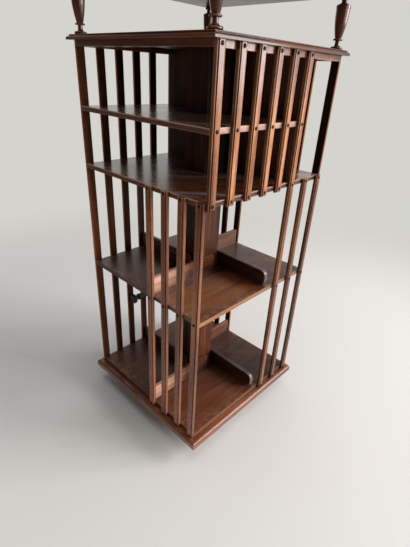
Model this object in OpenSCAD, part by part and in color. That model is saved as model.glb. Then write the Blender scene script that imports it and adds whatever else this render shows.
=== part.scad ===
// Revolving bookcase: a square slatted book rack that turns on a spindle fixed to a cross-shaped base.
// Frame: +Z up, origin on the floor on the turning axis, front towards -Y, right side towards +X.
// All sizes are in millimetres.

/* [Shelves] */
// Width and depth of every square shelf
shelf_w = 460; // [420:1:520]
// Thickness of every shelf
shelf_t = 12; // [10:0.5:16]
// Clear height from the bottom shelf to the lower shelf
first_bay_h = 378; // [330:1:420]
// Clear height from the lower shelf to the middle shelf
second_bay_h = 288; // [250:1:330]
// Clear height from the middle shelf to the upper shelf
third_bay_h = 135; // [100:1:180]
// Clear height from the upper shelf to the top board
top_bay_h = 145.5; // [120:0.5:200]
// Gap left all round where one board passes through or into another
joinery_gap = 0.2; // [0.1:0.05:0.5]

/* [Top boards] */
// Thickness of the top board and of the upper board
board_t = 11.5; // [11:0.5:16]
// How far both boards stand out beyond the shelves
board_overhang = 16.5; // [14:0.5:22]
// Height of the flat fillet at the foot of their edge moulding
fillet_h = 2.5; // [2:0.5:3.5]
// Radius of the broad quarter round of their edge moulding
ovolo_r = 5.5; // [4:0.5:6]
// Height of the groove between that quarter round and the top bead
quirk_h = 0.8; // [0.6:0.1:1.5]
// Height of the frieze under the top board
frieze_h = 13; // [11:0.5:20]
// Thickness of the frieze
frieze_t = 14; // [12:0.5:20]

/* [Columns] */
// Height of the turned columns between the two boards
column_h = 111; // [100:1:130]
// Distance of each column's axis from the shelf edges
column_inset = 10; // [6:1:24]
// Diameter of a column's foot
column_foot_d = 29.5; // [26:0.5:33]
// Diameter of a column at its shoulder
column_shoulder_d = 33.5; // [28:0.5:38]
// Diameter of a column's two rings
column_ring_d = 23; // [21:0.5:27]
// Diameter of a column at its waist, between the foot and the lower ring
column_waist_d = 11.5; // [9.5:0.5:13]
// Diameter of a column's vase where it stands on the lower ring
column_vase_d = 15; // [12:0.5:17]
// Diameter of a column at its upper neck
column_neck_d = 13.5; // [12:0.5:16]
// Thickness of a column's foot
column_foot_t = 7; // [4:0.5:8]
// Height of a column's lower ring above the top board
column_ring_z = 21.5; // [19:0.5:24]
// Thickness of a column's two rings
column_ring_t = 4.5; // [3:0.5:6]
// Thickness of a column's cap
column_cap_t = 4; // [3:0.5:5]
// Distance of a column's shoulder below its upper end
column_shoulder_drop = 27; // [25:0.5:34]
// Height of the plain band at a column's shoulder
column_band_h = 6.5; // [4:0.5:8]
// How far that band stands out from the vase below it
column_band_step = 0.7; // [0.4:0.1:1.2]
// Height of the slope from the band up to the neck
column_crown_h = 5; // [3:0.5:6]
// Diameter of the tenon at each end of a column
tenon_d = 8; // [6:0.5:9]
// Length of each tenon
tenon_len = 8; // [5:0.5:9]

/* [Base board] */
// Thickness of the base board
base_t = 25; // [20:0.5:28]
// How far the base board stands out beyond the shelves
base_overhang = 19; // [17:0.5:26]
// Radius of the nose along its edge
nose_r = 5; // [3:0.5:8]
// Drop from the ledge to the top of that nose
nose_step = 1.5; // [1:0.5:4]
// Radius along its lower edge
under_r = 4; // [2:0.5:5]

/* [Slats] */
// Width of a slat
slat_w = 22; // [18:0.5:26]
// Thickness of a slat
slat_t = 9; // [8:0.5:11]
// Width of a slat's raised middle
slat_face_w = 14; // [12:0.5:15]
// Thickness of a slat under its edge beads
slat_edge_t = 5.8; // [3.5:0.1:6.2]
// Width of the groove between a bead and the raised middle
slat_quirk_w = 0.9; // [0.7:0.1:1.6]
// Radius along the edges of the raised middle
slat_round_r = 1; // [0.5:0.1:1.5]
// Spacing of the first six slats on the right side
right_pitch = 60.4; // [54:0.2:64]
// Spacing of the slats in the other sets of four
slat_pitch = 57; // [50:0.5:60]
// How far the short slats hang below the middle shelf
slat_tail = 4; // [3:0.5:12]
// Size of the chamfer at the lower end of a short slat
slat_chamfer = 3; // [1:0.5:4]

/* [Slat screws] */
// Diameter of a screw's round head
screw_head_d = 8.5; // [7:0.5:9]
// Height of the head
screw_head_h = 2.6; // [2:0.1:3.5]
// Diameter of the shank
screw_shank_d = 3.2; // [2.6:0.1:4]
// Gap all round the shank in its hole
screw_gap = 0.15; // [0.1:0.05:0.3]
// Wood left between the ends of two screws that meet at a corner
screw_tip_gap = 1.4; // [1:0.1:2]
// Width of the screwdriver slot
slot_w = 1.3; // [0.8:0.1:1.6]
// Depth of the screwdriver slot
slot_deep = 1.1; // [0.6:0.1:1.4]
// Turn of the slot from one slat to the next, in degrees
slot_turn = 67; // [0:1:180]
// Turn of the slot from one row to the next, in degrees
slot_row_turn = 41; // [0:1:180]

/* [Divider, post and fences] */
// Thickness of the upright panel that closes off the rear slot
panel_t = 18; // [14:0.5:20]
// Outer width of the hollow square post
post_w = 78; // [70:1:90]
// Thickness of the post's four boards
post_t = 10; // [8:0.5:12]
// Height of the fences that part the shelves
fence_h = 50; // [40:1:70]
// Thickness of a fence
fence_t = 10; // [8:0.5:12]
// Distance of a fence's outer end from the shelf edge
fence_inset = 6; // [2:0.5:12]
// How far a fence runs past the turning axis along the post
fence_lap = 11.5; // [4:0.5:20]
// Radius of the upper corner of the outer end of the fence that stands free on the right side
fence_r = 20; // [12:1:26]
// Radius of the lower corner of that end
fence_foot_r = 18; // [6:1:22]
// Radius of the inner ends of the fences
fence_inner_r = 15; // [5:1:25]

/* [Side knob] */
// Height of the knob's axis above the floor
knob_z = 304; // [240:1:330]
// Diameter of the knob's head
knob_d = 34; // [28:0.5:36]
// Thickness of the head
knob_head_t = 12; // [9:0.5:14]
// Gap between the head's rim and the inner faces of the slats
knob_clear = 2; // [1:0.5:4]
// Distance of the head's outer face from the front edge of the slat that carries the knob
knob_len = 53; // [48:0.5:58]
// Diameter of the collar on the knob's neck
knob_collar_d = 22; // [18:0.5:26]
// Thickness of that collar
knob_collar_t = 9; // [5:0.5:11]
// Distance of the collar's middle from the front edge of the slat
knob_collar_at = 24; // [18:0.5:28]
// Diameter of the knob's neck
knob_neck_d = 12; // [8:0.5:14]
// Diameter of the boss that stands on the slat's inner face
knob_boss_d = 20; // [16:0.5:22]
// Length of boss beyond the neck
knob_boss_rim = 2; // [1:0.5:4]
// Diameter of the pin that holds the boss in the slat
knob_pin_d = 4.5; // [3:0.5:6]
// Length of that pin
knob_pin_len = 5; // [3:0.5:6]

/* [Fixed base] */
// Height of each foot
foot_h = 14; // [10:0.5:20]
// Diameter of each foot
foot_d = 44; // [36:1:46]
// Height of the crossed rails
rail_h = 31; // [29:1:44]
// Width of the crossed rails
rail_w = 46; // [46:1:56]
// Length of the crossed rails
rail_len = 430; // [380:1:440]
// Distance of each foot's middle from the end of its rail
foot_inset = 26; // [24:1:40]

/* [Swivel] */
// Diameter of the steel spindle
spindle_d = 16; // [12:0.5:20]
// Height of the spindle's upper end above the floor
spindle_top = 735; // [600:1:850]
// Height of the spindle's lower end above the underside of the rails
spindle_seat = 8; // [5:0.5:12]
// Gap all round the spindle in its bearings
spindle_play = 0.05; // [0.03:0.01:0.08]
// Diameter of the iron socket's flange
socket_d = 104; // [96:1:120]
// Thickness of that flange
socket_flange_t = 6; // [5:0.5:8]
// Height of the whole socket
socket_h = 9; // [8.5:0.5:14]
// Diameter of the socket's boss
socket_boss_d = 44; // [36:1:50]
// Diameter of the thrust washer on the boss
washer_d = 42; // [34:1:50]
// Thickness of the thrust washer
washer_t = 2; // [1.5:0.5:4]
// Diameter of the lower bush's flange
bush_flange_d = 90; // [70:1:96]
// Thickness of that flange
bush_flange_t = 4; // [3:0.5:6]
// Diameter of the lower bush where it passes up into the base
bush_spigot_d = 30; // [26:1:36]
// Outer diameter of the upper bush
upper_bush_d = 26; // [24:1:34]
// Height of the upper bush and of the block that holds it
upper_bush_h = 30; // [20:1:50]
// Length of spindle that stands out above the upper bush
spindle_stub = 5; // [2:0.5:12]
// Gap all round a bush in the wood that holds it
bush_gap = 0.05; // [0.02:0.01:0.1]
// Distance of the socket's screws from the turning axis
socket_screw_at = 37; // [34:0.5:40]
// Diameter of the heads of the socket's screws
socket_screw_head_d = 11; // [9:0.5:12]
// Height of those heads
socket_screw_head_h = 2.4; // [1.5:0.1:2.8]
// Diameter of their shanks
socket_screw_d = 5; // [4:0.5:6]
// Length of their shanks below the flange
socket_screw_len = 20; // [14:1:22]

/* [Hidden] */
$fn = 48;

// Colours as the photograph shows them
slat_brown = "#8a4a2c";
board_brown = "#7a3f26";
inner_brown = "#5e3020";
hidden_wood = "#6b4a30";
dark_metal = "#3a3632";
steel_grey = "#8d8f92";
brass_gold = "#b08d4a";
iron_black = "#2f2f31";

// A little extra length so that cuts run clean through
past = 1;

// Heights of the levels, from the floor up
half_w = shelf_w / 2;
z_rail = foot_h;
z_socket = z_rail + rail_h;
z_washer = z_socket + socket_h;
z_bush = z_washer + washer_t;
z_base = z_bush + bush_flange_t;
z_bottom = z_base + base_t;
z_lower = z_bottom + shelf_t + first_bay_h;
z_middle = z_lower + shelf_t + second_bay_h;
z_upper = z_middle + shelf_t + third_bay_h;
z_top = z_upper + shelf_t + top_bay_h;
z_deck = z_top + board_t;
z_cap = z_deck + column_h;
z_upper_bush = spindle_top - spindle_stub - upper_bush_h;

// Half widths of the moulded boards and the radius of the bead on their upper edges
board_half = half_w + board_overhang;
base_half = half_w + base_overhang;
bead_r = (board_t - fillet_h - ovolo_r - quirk_h) / 2;
column_at = half_w - column_inset;

// Front face of the divider panel, in line with the sixth slat on the right side
panel_y = -half_w + 5 * right_pitch;

// Upper end of the lower slats and lower end of the short upper slats
z_slat_split = z_middle + shelf_t;
z_slat_short = z_middle - slat_tail;

// Depth of the slat screws in the wood behind the slats, and the radius of their domed heads
screw_grip = slat_w / 2 - screw_shank_d / 2 - screw_tip_gap;
screw_dome_r = (pow(screw_head_d / 2, 2) + pow(screw_head_h, 2)) / (2 * screw_head_h);

// Radius of the edge beads of a slat
slat_bead_r = ((slat_w - slat_face_w) / 2 - slat_quirk_w) / 2;

// Where each slat's first edge lies along its side of the case
last_at = shelf_w - slat_w;
function right_at(i) = i < 6 ? i * right_pitch : i == 6 ? (5 * right_pitch + last_at) / 2 : last_at;
function front_at(i) = last_at - i * slat_pitch;
function left_at(i) = i < 5 ? i * slat_pitch : 5 * right_pitch + (i - 5) * (last_at - 5 * right_pitch) / 2;
function back_at(i) = i < 4 ? i * slat_pitch : 3 * slat_pitch + (i - 3) * (last_at - 3 * slat_pitch) / 4;

// Each slat as its place along the side, lower end, upper end and whether it meets the upper shelf or the panel
RIGHT = [for (i = [0:7]) [right_at(i), i < 5 ? z_slat_short : z_bottom, i > 5 ? z_slat_split : z_top, i < 6]];
FRONT = [for (i = [0:3]) [front_at(i), z_bottom, z_slat_split, false]];
LEFT = [for (i = [0:7]) [left_at(i), i < 4 ? z_bottom : z_slat_short, z_top, i < 6]];
BACK = [for (i = [0:7]) [back_at(i), i < 4 ? z_bottom : z_slat_short, z_top, false]];

// Heights of the rows of screws: four shelves from the bottom up, then the frieze
ROWS = [
    z_bottom + shelf_t / 2, z_lower + shelf_t / 2, z_middle + shelf_t / 2, z_upper + shelf_t / 2,
    z_top - frieze_h / 2
];
UPPER_ROW = 3;
FRIEZE_ROW = 4;

function screw_rows(s) = [
    for (k = [0:4]) if (ROWS[k] > s[1] && ROWS[k] < s[2] && (k != UPPER_ROW || s[3])) k
];

// Puts a side's own frame in place: x along the side, y outwards from the shelf edges
module on_right() { translate([half_w, -half_w, 0]) mirror([1, -1, 0]) children(); }
module on_front() { translate([-half_w, -half_w, 0]) mirror([0, 1, 0]) children(); }
module on_left() { translate([-half_w, -half_w, 0]) rotate([0, 0, 90]) children(); }
module on_back() { translate([-half_w, half_w, 0]) children(); }

// Turns a shape in Z to point outwards from a side, at a place along the side and a height
module outwards(along, height) { translate([along, 0, height]) rotate([-90, 0, 0]) children(); }

// Section of a slat: a raised middle between two edge beads
module slat_section() {
    middle_x = (slat_w - slat_face_w) / 2;
    square([slat_w, slat_edge_t]);
    translate([slat_bead_r, slat_edge_t]) circle(r = slat_bead_r);
    translate([slat_w - slat_bead_r, slat_edge_t]) circle(r = slat_bead_r);
    translate([middle_x, 0]) square([slat_face_w, slat_t - slat_round_r]);
    translate([middle_x + slat_round_r, 0]) square([slat_face_w - 2 * slat_round_r, slat_t]);
    translate([middle_x + slat_round_r, slat_t - slat_round_r]) circle(r = slat_round_r);
    translate([middle_x + slat_face_w - slat_round_r, slat_t - slat_round_r]) circle(r = slat_round_r);
}

// One slat with its screw holes; a short slat has its lower outer edge chamfered
module slat(s) {
    difference() {
        translate([s[0], 0, s[1]]) linear_extrude(s[2] - s[1]) slat_section();
        for (k = screw_rows(s))
            outwards(s[0] + slat_w / 2, ROWS[k])
                translate([0, 0, -past]) cylinder(d = screw_shank_d + 2 * screw_gap, h = slat_t + 2 * past);
        if (s[1] == z_slat_short)
            translate([s[0] - past, 0, s[1]])
                rotate([90, 0, 90])
                    linear_extrude(slat_w + 2 * past)
                        polygon([
                            [slat_t - slat_chamfer - past, -past],
                            [slat_t + past, -past],
                            [slat_t + past, slat_chamfer + past]
                        ]);
    }
}

// One round-headed slotted screw, its axis along Z and its head seated at the slat's face
module slat_screw(turn) {
    translate([0, 0, -screw_grip]) cylinder(d = screw_shank_d, h = screw_grip + slat_t + screw_head_h / 4);
    translate([0, 0, slat_t])
        difference() {
            intersection() {
                translate([0, 0, screw_head_h - screw_dome_r]) sphere(r = screw_dome_r);
                translate([-screw_head_d, -screw_head_d, 0])
                    cube([2 * screw_head_d, 2 * screw_head_d, 2 * screw_head_h]);
            }
            rotate([0, 0, turn])
                translate([-screw_head_d, -slot_w / 2, screw_head_h - slot_deep])
                    cube([2 * screw_head_d, slot_w, screw_head_h]);
        }
}

// All the screws of one side, each with its slot turned another way
module side_screws(slats) {
    for (i = [0 : len(slats) - 1])
        for (k = screw_rows(slats[i]))
            outwards(slats[i][0] + slat_w / 2, ROWS[k])
                slat_screw(slot_turn * i + slot_row_turn * k);
}

// Pilot holes in the wood behind one side's slats, along one row
module pilots(slats, row) {
    for (s = slats)
        for (k = screw_rows(s))
            if (k == row)
                outwards(s[0] + slat_w / 2, ROWS[k])
                    translate([0, 0, -screw_grip - screw_gap])
                        cylinder(d = screw_shank_d + 2 * screw_gap, h = screw_grip + screw_gap + past);
}

// Pilot holes of all four sides along one row
module row_pilots(row) {
    on_right() pilots(RIGHT, row);
    on_front() pilots(FRONT, row);
    on_left() pilots(LEFT, row);
    on_back() pilots(BACK, row);
}

// The hole for the post, drawn from below the given height
module post_hole(height) {
    hole = post_w + 2 * joinery_gap;
    translate([-hole / 2, -hole / 2, height - past]) cube([hole, hole, shelf_t + 2 * past]);
}

// A square shelf with the hole for the post and the pilot holes along its edges
module square_shelf(height, row) {
    difference() {
        translate([-half_w, -half_w, height]) cube([shelf_w, shelf_w, shelf_t]);
        post_hole(height);
        row_pilots(row);
    }
}

// A board with the same edge section all round, mitred at its corners
module mitred(length) {
    intersection() {
        rotate([90, 0, 0]) linear_extrude(length, center = true) children();
        rotate([90, 0, 90]) linear_extrude(length, center = true) children();
    }
}

// Half of the section of the two upper boards, from the fillet up to the bead
module board_half_section() {
    core = board_half - ovolo_r - bead_r;
    square([core, board_t]);
    square([board_half, fillet_h]);
    square([board_half - ovolo_r, fillet_h + ovolo_r]);
    intersection() {
        translate([board_half - ovolo_r, fillet_h]) circle(r = ovolo_r);
        square([board_half + past, fillet_h + ovolo_r]);
    }
    translate([core, board_t - bead_r]) circle(r = bead_r);
}

module board_section() {
    board_half_section();
    mirror([1, 0]) board_half_section();
}

// Half of the section of the base board, with its ledge, nose and lower round
module base_half_section() {
    nose_z = base_t - nose_step - nose_r;
    square([base_half - nose_r, base_t]);
    translate([base_half - nose_r, nose_z]) circle(r = nose_r);
    translate([0, under_r]) square([base_half, nose_z - under_r]);
    translate([base_half - under_r, under_r]) circle(r = under_r);
    square([base_half - under_r, base_t / 2]);
}

module base_section() {
    base_half_section();
    mirror([1, 0]) base_half_section();
}

// The four column places, by turning one corner about the axis
module at_corner(i) { rotate([0, 0, 90 * i]) translate([column_at, -column_at, 0]) children(); }

// The holes for the column tenons, upwards from the given height
module tenon_holes(height) {
    for (i = [0:3])
        at_corner(i) translate([0, 0, height])
            cylinder(d = tenon_d + 2 * joinery_gap, h = tenon_len + joinery_gap + past);
}

// Half section of a turned column: foot, waist, ring, swelling vase, shoulder band, neck, ring and cap
module column_section() {
    ring_r = column_ring_t / 2;
    high_ring_z = column_h - column_cap_t - ring_r;
    vase_z = column_ring_z + ring_r;
    band_z = column_h - column_shoulder_drop;
    crown_z = band_z + column_band_h;
    shoulder_r = column_shoulder_d / 2;
    waist_r = column_waist_d / 2;
    neck_r = column_neck_d / 2;
    foot_r = (column_foot_d - column_foot_t) / 2;
    cove_r = foot_r - waist_r;
    rise = band_z - vase_z;
    full_r = shoulder_r - column_band_step;
    swell = full_r - column_vase_d / 2;
    vase_r = (rise * rise + swell * swell) / (2 * swell);
    // Foot with a rounded rim, and a cove that sweeps up into the waist
    square([waist_r, column_ring_z]);
    square([foot_r, column_foot_t]);
    translate([foot_r, column_foot_t / 2]) circle(d = column_foot_t);
    difference() {
        translate([0, column_foot_t / 2]) square([foot_r, column_foot_t / 2 + cove_r]);
        translate([foot_r, column_foot_t + cove_r]) circle(r = cove_r);
    }
    // Lower ring
    translate([0, column_ring_z - ring_r]) square([column_ring_d / 2 - ring_r, column_ring_t]);
    translate([column_ring_d / 2 - ring_r, column_ring_z]) circle(r = ring_r);
    // Vase, slender at its foot and full under the shoulder band
    intersection() {
        translate([full_r - vase_r, band_z]) circle(r = vase_r, $fn = 400);
        translate([0, vase_z - ring_r / 2]) square([shoulder_r + past, rise + ring_r / 2]);
    }
    // Shoulder band and the slope that closes it
    polygon([
        [0, band_z], [shoulder_r, band_z], [shoulder_r, crown_z],
        [neck_r, crown_z + column_crown_h], [0, crown_z + column_crown_h]
    ]);
    // Neck, upper ring and cap
    translate([0, band_z]) square([neck_r, column_h - band_z]);
    translate([0, high_ring_z - ring_r]) square([column_ring_d / 2 - ring_r, column_ring_t]);
    translate([column_ring_d / 2 - ring_r, high_ring_z]) circle(r = ring_r);
    translate([0, column_h - column_cap_t]) square([(column_ring_d - ring_r) / 2, column_cap_t]);
}

module column(i) {
    at_corner(i) translate([0, 0, z_deck]) {
        rotate_extrude($fn = 64)
            difference() {
                column_section();
                translate([-column_shoulder_d, -past]) square([column_shoulder_d, column_h + 2 * past]);
            }
        translate([0, 0, -tenon_len]) cylinder(d = tenon_d, h = column_h + 2 * tenon_len);
    }
}

// The waste outside a rounded corner, with the corner at the origin and the board towards +X and -Y
module corner_waste(r) {
    difference() {
        translate([-past, -r]) square([r + past, r + past]);
        translate([r, -r]) circle(r = r, $fn = 96);
    }
}

// A fence standing on the given level against one face of the post; the turn picks the face
module fence(height, turn, free) {
    length = half_w - fence_inset + fence_lap;
    rotate([0, 0, turn])
        translate([post_w / 2, -half_w + fence_inset, height])
            rotate([90, 0, 90])
                linear_extrude(fence_t)
                    difference() {
                        square([length, fence_h]);
                        if (free) {
                            translate([0, fence_h]) corner_waste(fence_r);
                            mirror([0, 1]) corner_waste(fence_foot_r);
                        }
                        translate([length, fence_h]) mirror([1, 0]) corner_waste(fence_inner_r);
                    }
}

// One board of the hollow post: two stand full width and two fit between them
module post_board(width, turn) {
    rotate([0, 0, turn])
        translate([-width / 2, -post_w / 2, z_bottom + shelf_t])
            cube([width, post_t, z_top - z_bottom - shelf_t]);
}

// One length of the frieze, against the inside of the shelf line; long ones run to the corners
module frieze(length, turn) {
    rotate([0, 0, turn])
        translate([-length / 2, -half_w, z_top - frieze_h])
            cube([length, frieze_t, frieze_h]);
}

// One rail of the cross base before its lap is cut
module rail() {
    translate([-rail_len / 2, -rail_w / 2, z_rail]) cube([rail_len, rail_w, rail_h]);
}

// The lap cut in one rail where the other crosses it
module rail_lap(height) {
    cut_w = rail_w + 2 * joinery_gap;
    translate([-cut_w / 2, -rail_w / 2 - past, height]) cube([cut_w, rail_w + 2 * past, rail_h / 2 + past]);
}

// The blind hole for the spindle in the cross, and the holes for the socket's screws
module cross_holes() {
    translate([0, 0, z_rail + spindle_seat]) cylinder(d = spindle_d + 2 * spindle_play, h = rail_h);
    socket_screw_places()
        translate([0, 0, z_socket - socket_screw_len - joinery_gap])
            cylinder(d = socket_screw_d + 2 * screw_gap, h = socket_screw_len + joinery_gap + past);
}

// The four screw places of the socket, along the rails
module socket_screw_places() {
    for (i = [0:3]) rotate([0, 0, 45 + 90 * i]) translate([socket_screw_at, 0, 0]) children();
}

module foot(i) {
    color(hidden_wood)
        rotate([0, 0, 45 + 90 * i])
            translate([rail_len / 2 - foot_inset, 0, 0])
                cylinder(d = foot_d, h = foot_h);
}

// The fixed base
module base_rail_a() {
    color(hidden_wood)
        difference() {
            rotate([0, 0, 45])
                difference() {
                    rail();
                    rail_lap(z_rail + rail_h / 2);
                }
            cross_holes();
        }
}

module base_rail_b() {
    color(hidden_wood)
        difference() {
            rotate([0, 0, -45])
                difference() {
                    rail();
                    rail_lap(z_rail - past);
                }
            cross_holes();
        }
}

module foot_1() { foot(0); }
module foot_2() { foot(1); }
module foot_3() { foot(2); }
module foot_4() { foot(3); }

module spindle_socket() {
    color(iron_black)
        difference() {
            translate([0, 0, z_socket])
                union() {
                    cylinder(d = socket_d, h = socket_flange_t);
                    cylinder(d = socket_boss_d, h = socket_h);
                }
            translate([0, 0, z_socket - past]) cylinder(d = spindle_d + 2 * spindle_play, h = socket_h + 2 * past);
            socket_screw_places()
                translate([0, 0, z_socket - past])
                    cylinder(d = socket_screw_d + 2 * screw_gap, h = socket_h + 2 * past);
        }
}

module socket_screws() {
    color(dark_metal)
        socket_screw_places()
            translate([0, 0, z_socket]) {
                translate([0, 0, -socket_screw_len])
                    cylinder(d = socket_screw_d, h = socket_screw_len + socket_flange_t + socket_screw_head_h / 2);
                translate([0, 0, socket_flange_t]) cylinder(d = socket_screw_head_d, h = socket_screw_head_h);
            }
}

module spindle() {
    color(steel_grey)
        translate([0, 0, z_rail + spindle_seat])
            cylinder(d = spindle_d, h = spindle_top - z_rail - spindle_seat);
}

module thrust_washer() {
    color(brass_gold)
        difference() {
            translate([0, 0, z_washer]) cylinder(d = washer_d, h = washer_t);
            translate([0, 0, z_washer - past]) cylinder(d = spindle_d + 2 * spindle_play, h = washer_t + 2 * past);
        }
}

// The bearings that turn with the case
module lower_bush() {
    color(iron_black)
        difference() {
            translate([0, 0, z_bush])
                union() {
                    cylinder(d = bush_flange_d, h = bush_flange_t);
                    cylinder(d = bush_spigot_d, h = bush_flange_t + base_t + shelf_t);
                }
            translate([0, 0, z_bush - past])
                cylinder(d = spindle_d + 2 * spindle_play, h = bush_flange_t + base_t + shelf_t + 2 * past);
        }
}

module bush_block() {
    side = post_w - 2 * post_t - 2 * joinery_gap;
    color(hidden_wood)
        difference() {
            translate([-side / 2, -side / 2, z_upper_bush]) cube([side, side, upper_bush_h]);
            translate([0, 0, z_upper_bush - past])
                cylinder(d = upper_bush_d + 2 * bush_gap, h = upper_bush_h + 2 * past);
        }
}

module upper_bush() {
    color(brass_gold)
        difference() {
            translate([0, 0, z_upper_bush]) cylinder(d = upper_bush_d, h = upper_bush_h);
            translate([0, 0, z_upper_bush - past])
                cylinder(d = spindle_d + 2 * spindle_play, h = upper_bush_h + 2 * past);
        }
}

// The turning case: boards and shelves
module base_board() {
    color(board_brown)
        difference() {
            translate([0, 0, z_base]) mitred(2 * base_half + 2 * past) base_section();
            translate([0, 0, z_base - past]) cylinder(d = bush_spigot_d + 2 * bush_gap, h = base_t + 2 * past);
        }
}

module bottom_shelf() {
    color(board_brown)
        difference() {
            translate([-half_w, -half_w, z_bottom]) cube([shelf_w, shelf_w, shelf_t]);
            translate([0, 0, z_bottom - past]) cylinder(d = bush_spigot_d + 2 * bush_gap, h = shelf_t + 2 * past);
            row_pilots(0);
        }
}

module lower_shelf() { color(board_brown) square_shelf(z_lower, 1); }
module middle_shelf() { color(board_brown) square_shelf(z_middle, 2); }

module upper_shelf() {
    color(board_brown)
        difference() {
            translate([-half_w, -half_w, z_upper]) cube([shelf_w, panel_y + half_w, shelf_t]);
            post_hole(z_upper);
            on_right() pilots(RIGHT, UPPER_ROW);
            on_left() pilots(LEFT, UPPER_ROW);
        }
}

module divider_panel() {
    notch_w = frieze_t + joinery_gap;
    notch_h = frieze_h + joinery_gap;
    panel_z = z_middle + shelf_t;
    color(board_brown)
        difference() {
            translate([-half_w, panel_y, panel_z]) cube([shelf_w, panel_t, z_top - panel_z]);
            for (x = [-half_w - past, half_w - notch_w])
                translate([x, panel_y - past, z_top - notch_h])
                    cube([notch_w + past, panel_t + 2 * past, notch_h + past]);
            on_right() pilots(RIGHT, UPPER_ROW);
            on_left() pilots(LEFT, UPPER_ROW);
        }
}

module post_front() { color(inner_brown) post_board(post_w, 0); }
module post_back() { color(inner_brown) post_board(post_w, 180); }
module post_left() { color(inner_brown) post_board(post_w - 2 * post_t, -90); }
module post_right() { color(inner_brown) post_board(post_w - 2 * post_t, 90); }

module bottom_fence_1() { color(inner_brown) fence(z_bottom + shelf_t, 0, false); }
module bottom_fence_2() { color(inner_brown) fence(z_bottom + shelf_t, 90, true); }
module bottom_fence_3() { color(inner_brown) fence(z_bottom + shelf_t, 180, false); }
module bottom_fence_4() { color(inner_brown) fence(z_bottom + shelf_t, 270, false); }
module lower_fence_1() { color(inner_brown) fence(z_lower + shelf_t, 0, false); }
module lower_fence_2() { color(inner_brown) fence(z_lower + shelf_t, 90, true); }
module lower_fence_3() { color(inner_brown) fence(z_lower + shelf_t, 180, false); }
module lower_fence_4() { color(inner_brown) fence(z_lower + shelf_t, 270, false); }

// The frieze, the two upper boards and the columns between them
module frieze_front() { color(board_brown) difference() { frieze(shelf_w, 0); row_pilots(FRIEZE_ROW); } }
module frieze_back() { color(board_brown) difference() { frieze(shelf_w, 180); row_pilots(FRIEZE_ROW); } }
module frieze_left() {
    color(board_brown) difference() { frieze(shelf_w - 2 * frieze_t, -90); row_pilots(FRIEZE_ROW); }
}
module frieze_right() {
    color(board_brown) difference() { frieze(shelf_w - 2 * frieze_t, 90); row_pilots(FRIEZE_ROW); }
}

module top_board() {
    color(board_brown)
        difference() {
            translate([0, 0, z_top]) mitred(2 * board_half + 2 * past) board_section();
            tenon_holes(z_deck - tenon_len - joinery_gap);
        }
}

module upper_board() {
    color(board_brown)
        difference() {
            translate([0, 0, z_cap]) mitred(2 * board_half + 2 * past) board_section();
            tenon_holes(z_cap - past);
        }
}

module column_1() { color(slat_brown) column(0); }
module column_2() { color(slat_brown) column(1); }
module column_3() { color(slat_brown) column(2); }
module column_4() { color(slat_brown) column(3); }

// The slats, counted from the front corner on the right side and from the right corner on the front
module right_slat_1() { color(slat_brown) on_right() slat(RIGHT[0]); }
module right_slat_2() { color(slat_brown) on_right() slat(RIGHT[1]); }
module right_slat_3() { color(slat_brown) on_right() slat(RIGHT[2]); }
module right_slat_4() { color(slat_brown) on_right() slat(RIGHT[3]); }
module right_slat_5() { color(slat_brown) on_right() slat(RIGHT[4]); }
module right_slat_6() { color(slat_brown) on_right() slat(RIGHT[5]); }
module right_slat_7() { color(slat_brown) on_right() slat(RIGHT[6]); }
module right_slat_8() { color(slat_brown) on_right() slat(RIGHT[7]); }
module front_slat_1() { color(slat_brown) on_front() slat(FRONT[0]); }
module front_slat_2() { color(slat_brown) on_front() slat(FRONT[1]); }
module front_slat_3() { color(slat_brown) on_front() slat(FRONT[2]); }
module front_slat_4() { color(slat_brown) on_front() slat(FRONT[3]); }

module left_slats() {
    color(slat_brown)
        difference() {
            on_left() for (s = LEFT) slat(s);
            knob_place() translate([0, 0, -knob_pin_len - joinery_gap])
                cylinder(d = knob_pin_d + 2 * screw_gap, h = knob_pin_len + joinery_gap + past);
        }
}

module back_slats() { color(slat_brown) on_back() for (s = BACK) slat(s); }

module right_screws() { color(dark_metal) on_right() side_screws(RIGHT); }
module front_screws() { color(dark_metal) on_front() side_screws(FRONT); }
module left_screws() { color(dark_metal) on_left() side_screws(LEFT); }
module back_screws() { color(dark_metal) on_back() side_screws(BACK); }

// The place of the knob's boss on the inner face of the fourth slat on the left side, with Z pointing inwards
module knob_place() {
    translate([-half_w, -half_w + left_at(3) + slat_w / 2, knob_z]) rotate([0, 90, 0]) children();
}

// The knob: a boss on the slat, and a neck with a collar and a round head that points forwards
module side_knob() {
    rim_r = knob_head_t / 3;
    axis_at = knob_d / 2 + knob_clear;
    reach = slat_w / 2 + knob_len;
    color(dark_metal)
        knob_place() {
            translate([0, 0, -knob_pin_len]) cylinder(d = knob_pin_d, h = knob_pin_len + past);
            cylinder(d = knob_boss_d, h = axis_at + knob_neck_d / 2 + knob_boss_rim);
            translate([0, 0, axis_at]) rotate([90, 0, 0]) {
                cylinder(d = knob_neck_d, h = reach - knob_head_t / 2);
                translate([0, 0, slat_w / 2 + knob_collar_at - knob_collar_t / 2])
                    cylinder(d = knob_collar_d, h = knob_collar_t);
                translate([0, 0, reach - knob_head_t])
                    rotate_extrude($fn = 64) {
                        square([knob_d / 2 - rim_r, knob_head_t]);
                        translate([0, rim_r]) square([knob_d / 2, knob_head_t - 2 * rim_r]);
                        translate([knob_d / 2 - rim_r, rim_r]) circle(r = rim_r);
                        translate([knob_d / 2 - rim_r, knob_head_t - rim_r]) circle(r = rim_r);
                    }
            }
        }
}

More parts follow.
